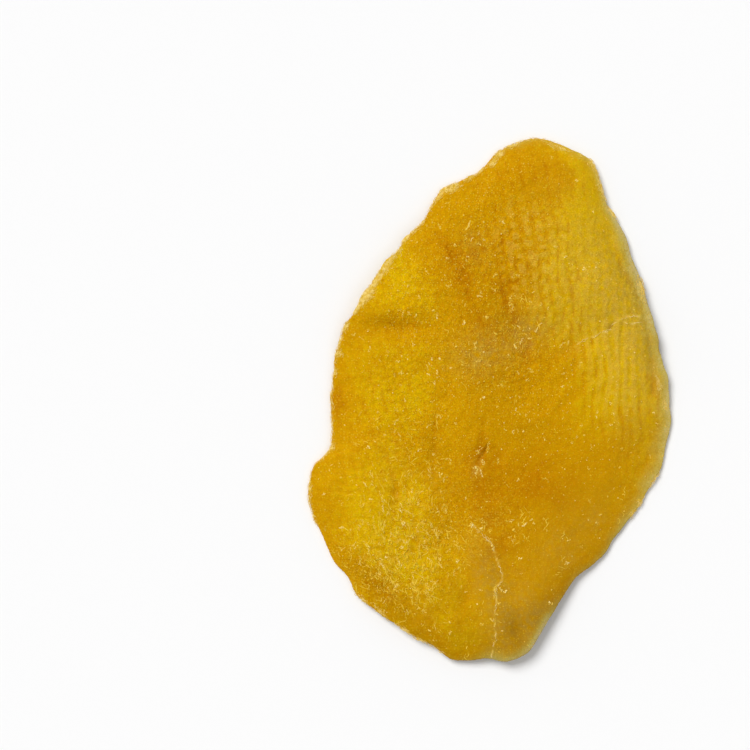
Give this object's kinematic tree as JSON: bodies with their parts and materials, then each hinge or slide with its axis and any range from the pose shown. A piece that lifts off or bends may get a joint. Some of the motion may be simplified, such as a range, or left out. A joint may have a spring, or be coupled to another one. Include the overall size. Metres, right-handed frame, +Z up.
{
  "type": "dried mango slice",
  "caption": "Thin, leathery slice of dried mango cheek, a gently domed and rippled oval sheet with a rounded stem end, a narrower tip and a feathered edge.",
  "frame": {"origin": "middle of the slice's outline, on the surface that the slice lies on", "axes": "+Y along the slice's long way towards its rounded stem end, +X across it, to the right as seen from above with the stem end away, +Z up through its thickness"},
  "size_m": [0.091, 0.1308, 0.0065],
  "materials": {
    "dried_flesh": "golden, satin and slightly translucent, with a fine sugary frost"
  },
  "bodies": {
    "root": {"mango_slice": "dried_flesh"}
  },
  "joints": []
}
